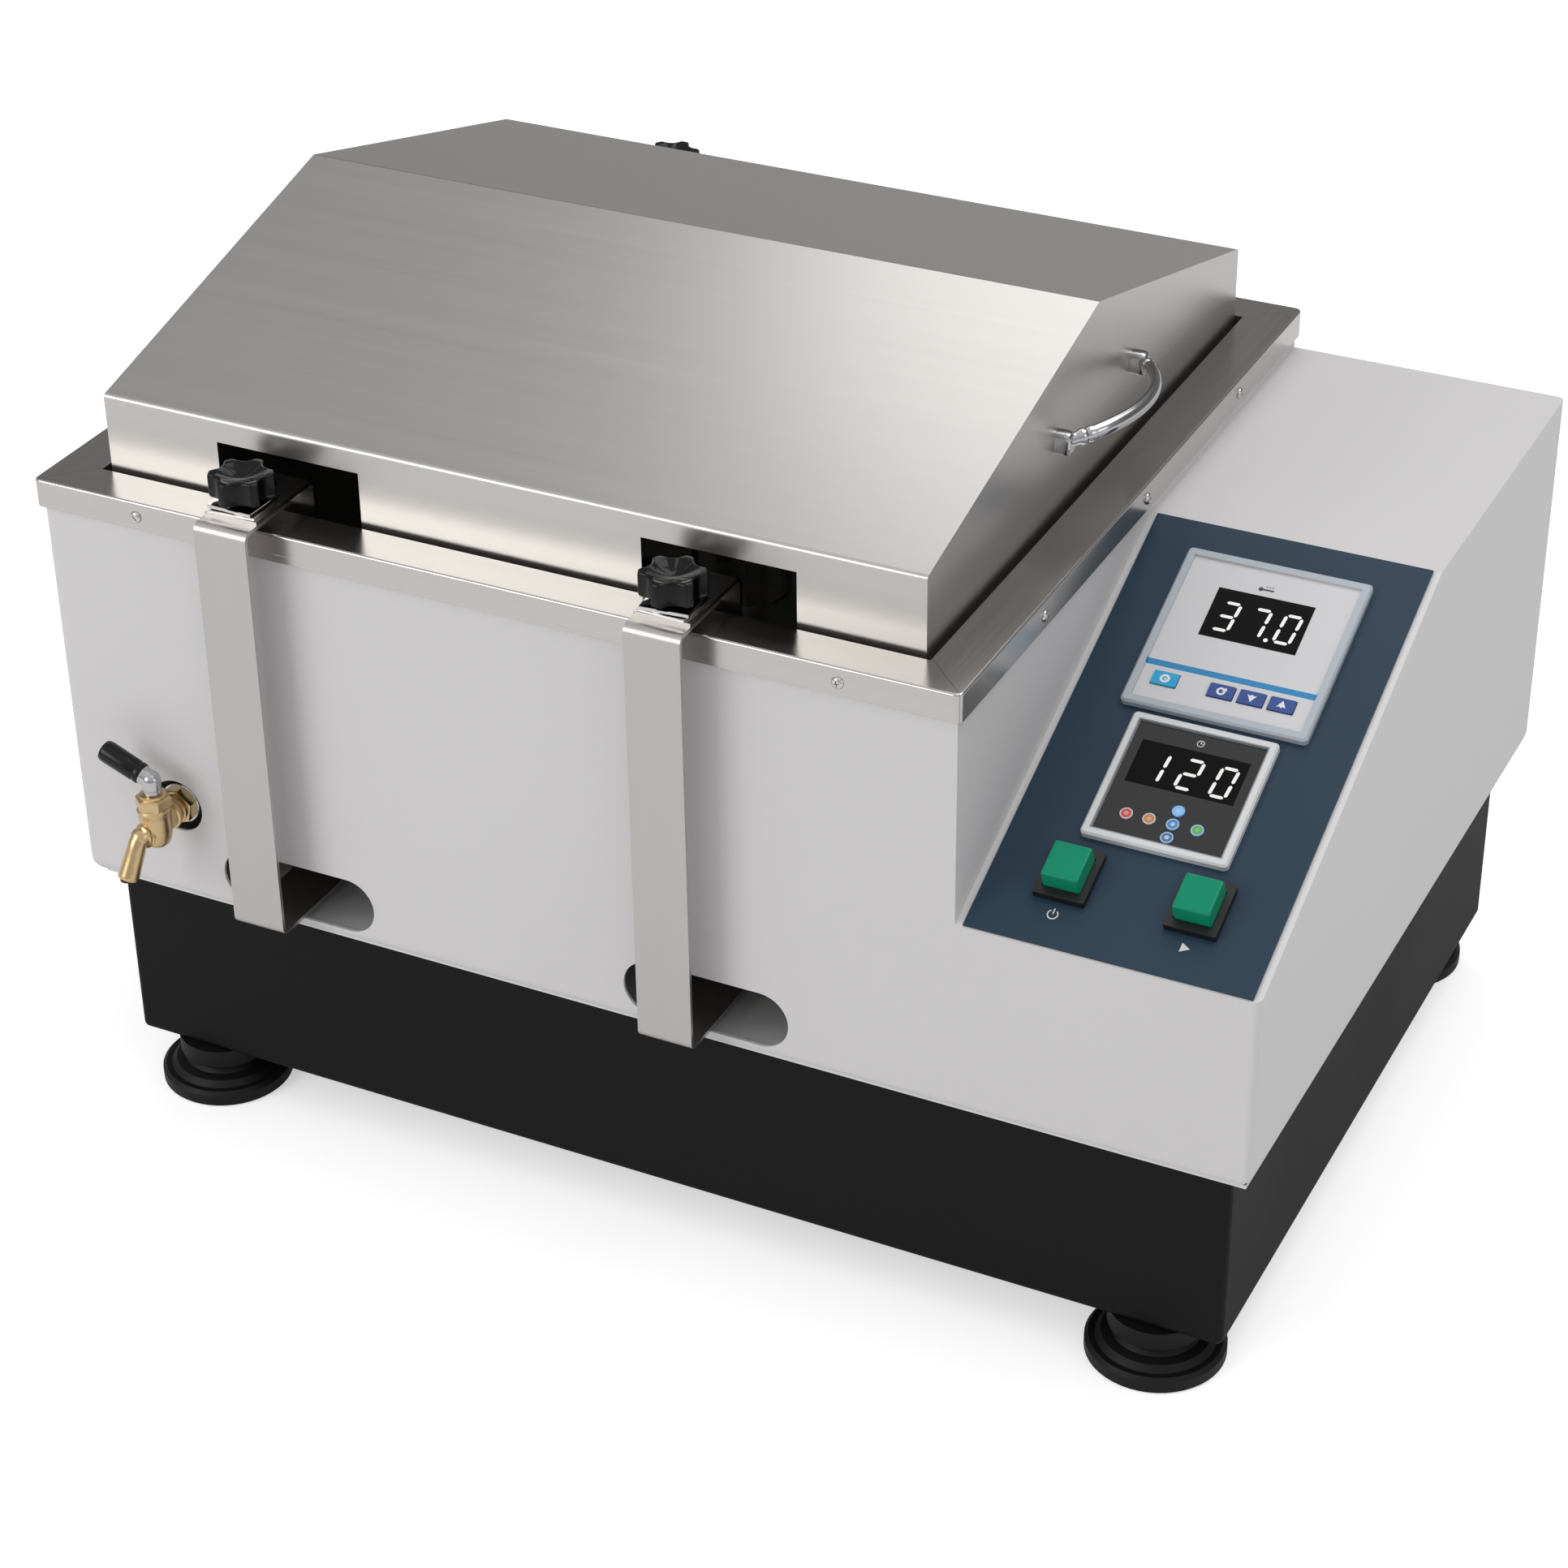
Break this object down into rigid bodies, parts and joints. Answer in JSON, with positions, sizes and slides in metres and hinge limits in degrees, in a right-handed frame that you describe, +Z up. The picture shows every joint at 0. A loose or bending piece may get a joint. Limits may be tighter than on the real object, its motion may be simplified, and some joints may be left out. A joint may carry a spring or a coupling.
{
  "type": "shaking water bath",
  "caption": "Bench shaking water bath with a gable lid, outside carrier arms with star knobs, sloped control panel, drain tap and black drive base on round feet.",
  "frame": {"origin": "middle of the overall box in plan, on the bench surface under the feet", "axes": "+Z up, +X to the operator's right, +Y to the rear; the control panel and tap face -Y"},
  "size_m": [0.6704, 0.5242, 0.4672],
  "materials": {
    "base_black": "satin black powder coat",
    "foot_rubber": "moulded black rubber",
    "body_white": "fine white powder coat",
    "deck_metal": "plain bright sheet",
    "rim_steel": "brushed stainless, grain along each side",
    "screw_steel": "bright stainless fasteners",
    "tank_steel": "satin stainless sheet",
    "heater_steel": "drawn stainless tube",
    "lid_steel": "brushed stainless, grain along the ridge",
    "handle_chrome": "polished chrome rod",
    "arm_steel": "fine brushed stainless strip",
    "tray_steel": "stainless sheet",
    "drive_metal": "machined aluminium and steel",
    "motor_black": "black motor can",
    "belt_rubber": "black belt",
    "knob_plastic": "glossy black moulded knob",
    "tap_brass": "cast and turned brass",
    "tap_chrome": "chrome stem",
    "grip_plastic": "black grip sleeve",
    "panel_blue": "satin dark blue panel",
    "controller_grey": "light grey moulded bezel",
    "timer_white": "white moulded bezel",
    "display_black": "black display window",
    "key_cyan": "light blue membrane key",
    "key_blue": "dark blue membrane key",
    "key_red": "red round key",
    "key_orange": "orange round key",
    "key_sky": "sky blue round key",
    "key_green": "green round key",
    "bezel_black": "black switch bezel",
    "cap_green": "green push cap",
    "board_green": "circuit board",
    "inlet_black": "black mains inlet"
  },
  "bodies": {
    "cabinet": {"base_housing": "base_black", "rubber_feet": "foot_rubber", "enclosure": "body_white", "deck_plate": "deck_metal", "rim_frame": "rim_steel", "rim_screws": "screw_steel", "water_tank": "tank_steel", "heater_element": "heater_steel", "temperature_probe": "heater_steel", "drain_tap": "tap_brass", "guide_rods": "screw_steel", "rod_supports": "drive_metal", "spindle_housing": "drive_metal", "drive_motor": "motor_black", "motor_bracket": "deck_metal", "drive_belt": "belt_rubber", "panel_plate": "panel_blue", "temperature_controller": "controller_grey", "timer_controller": "timer_white", "temperature_display": "display_black", "timer_display": "display_black", "switch_bezels": "bezel_black", "control_board": "board_green", "mains_inlet": "inlet_black", "service_cover": "body_white", "cover_screws": "screw_steel"},
    "lid": {"lid_shell": "lid_steel", "lid_handles": "handle_chrome"},
    "carriage": {"carrier_strap_left": "arm_steel", "carrier_arm_right": "arm_steel", "carriage_plate": "tray_steel", "linear_bearings": "drive_metal", "arm_studs": "screw_steel", "hanger_front_left": "arm_steel", "hanger_front_right": "arm_steel", "hanger_rear_left": "arm_steel", "clamp_washers": "screw_steel", "shaker_tray": "tray_steel", "flask_clamps": "tray_steel"},
    "crank": {"crank_spindle": "screw_steel", "crank_roller": "screw_steel", "crank_pulley": "drive_metal"},
    "motor_rotor": {"motor_pulley": "drive_metal"},
    "tap_handle": {"tap_lever": "tap_chrome", "tap_grip": "grip_plastic"},
    "power_cap": {"power_button": "cap_green"},
    "start_cap": {"start_button": "cap_green"},
    "knob_front_left_body": {"knob_front_left": "knob_plastic"},
    "knob_front_right_body": {"knob_front_right": "knob_plastic"},
    "knob_rear_left_body": {"knob_rear_left": "knob_plastic"},
    "temperature_key_set_body": {"temperature_key_set": "key_cyan"},
    "temperature_key_mode_body": {"temperature_key_mode": "key_blue"},
    "temperature_key_down_body": {"temperature_key_down": "key_blue"},
    "temperature_key_up_body": {"temperature_key_up": "key_blue"},
    "timer_key_stop_body": {"timer_key_stop": "key_red"},
    "timer_key_hold_body": {"timer_key_hold": "key_orange"},
    "timer_key_up_body": {"timer_key_up": "key_sky"},
    "timer_key_select_body": {"timer_key_select": "key_sky"},
    "timer_key_down_body": {"timer_key_down": "key_sky"},
    "timer_key_run_body": {"timer_key_run": "key_green"}
  },
  "joints": [
    {"name": "lid_lift", "type": "slide", "parent": "cabinet", "child": "lid", "axis": [0, 0, 1], "range_m": [0, 0.25]},
    {"name": "carriage_slide", "type": "slide", "parent": "cabinet", "child": "carriage", "axis": [1, 0, 0], "range_m": [0, 0.024]},
    {"name": "crank_turn", "type": "hinge", "parent": "cabinet", "child": "crank", "pos_m": [-0.07101, 0.01212, 0.137], "axis": [0, 0, 1], "range_deg": [0, 180]},
    {"name": "motor_turn", "type": "hinge", "parent": "cabinet", "child": "motor_rotor", "pos_m": [0.07899, 0.01212, 0.049], "axis": [0, 0, 1], "range_deg": [0, 540]},
    {"name": "tap_turn", "type": "hinge", "parent": "cabinet", "child": "tap_handle", "pos_m": [-0.26176, -0.23688, 0.2145], "axis": [0, 0, 1], "range_deg": [0, 90]},
    {"name": "knob_front_left_turn", "type": "hinge", "parent": "carriage", "child": "knob_front_left_body", "pos_m": [-0.20227, -0.21488, 0.387], "axis": [0, 0, 1], "continuous": true},
    {"name": "knob_front_right_turn", "type": "hinge", "parent": "carriage", "child": "knob_front_right_body", "pos_m": [0.03625, -0.21488, 0.387], "axis": [0, 0, 1], "continuous": true},
    {"name": "knob_rear_left_turn", "type": "hinge", "parent": "carriage", "child": "knob_rear_left_body", "pos_m": [-0.20227, 0.23912, 0.387], "axis": [0, 0, 1], "continuous": true},
    {"name": "power_press", "type": "slide", "parent": "cabinet", "child": "power_cap", "axis": [0, 0.3964, -0.9181], "range_m": [0, 0.003], "stiffness_N_per_m": 400, "springref_m": -0.001},
    {"name": "start_press", "type": "slide", "parent": "cabinet", "child": "start_cap", "axis": [0, 0.3964, -0.9181], "range_m": [0, 0.003], "stiffness_N_per_m": 400, "springref_m": -0.001},
    {"name": "temperature_key_set_press", "type": "slide", "parent": "cabinet", "child": "temperature_key_set_body", "axis": [0, 0.3964, -0.9181], "range_m": [0, 0.0004], "stiffness_N_per_m": 1500, "springref_m": -0.0002},
    {"name": "temperature_key_mode_press", "type": "slide", "parent": "cabinet", "child": "temperature_key_mode_body", "axis": [0, 0.3964, -0.9181], "range_m": [0, 0.0004], "stiffness_N_per_m": 1500, "springref_m": -0.0002},
    {"name": "temperature_key_down_press", "type": "slide", "parent": "cabinet", "child": "temperature_key_down_body", "axis": [0, 0.3964, -0.9181], "range_m": [0, 0.0004], "stiffness_N_per_m": 1500, "springref_m": -0.0002},
    {"name": "temperature_key_up_press", "type": "slide", "parent": "cabinet", "child": "temperature_key_up_body", "axis": [0, 0.3964, -0.9181], "range_m": [0, 0.0004], "stiffness_N_per_m": 1500, "springref_m": -0.0002},
    {"name": "timer_key_stop_press", "type": "slide", "parent": "cabinet", "child": "timer_key_stop_body", "axis": [0, 0.3964, -0.9181], "range_m": [0, 0.0004], "stiffness_N_per_m": 1500, "springref_m": -0.0002},
    {"name": "timer_key_hold_press", "type": "slide", "parent": "cabinet", "child": "timer_key_hold_body", "axis": [0, 0.3964, -0.9181], "range_m": [0, 0.0004], "stiffness_N_per_m": 1500, "springref_m": -0.0002},
    {"name": "timer_key_up_press", "type": "slide", "parent": "cabinet", "child": "timer_key_up_body", "axis": [0, 0.3964, -0.9181], "range_m": [0, 0.0004], "stiffness_N_per_m": 1500, "springref_m": -0.0002},
    {"name": "timer_key_select_press", "type": "slide", "parent": "cabinet", "child": "timer_key_select_body", "axis": [0, 0.3964, -0.9181], "range_m": [0, 0.0004], "stiffness_N_per_m": 1500, "springref_m": -0.0002},
    {"name": "timer_key_down_press", "type": "slide", "parent": "cabinet", "child": "timer_key_down_body", "axis": [0, 0.3964, -0.9181], "range_m": [0, 0.0004], "stiffness_N_per_m": 1500, "springref_m": -0.0002},
    {"name": "timer_key_run_press", "type": "slide", "parent": "cabinet", "child": "timer_key_run_body", "axis": [0, 0.3964, -0.9181], "range_m": [0, 0.0004], "stiffness_N_per_m": 1500, "springref_m": -0.0002}
  ],
  "couplings": [
    {"joint": "crank_turn", "follows": "carriage_slide", "rad_per_m": 130.9},
    {"joint": "motor_turn", "follows": "carriage_slide", "rad_per_m": 392.7}
  ]
}
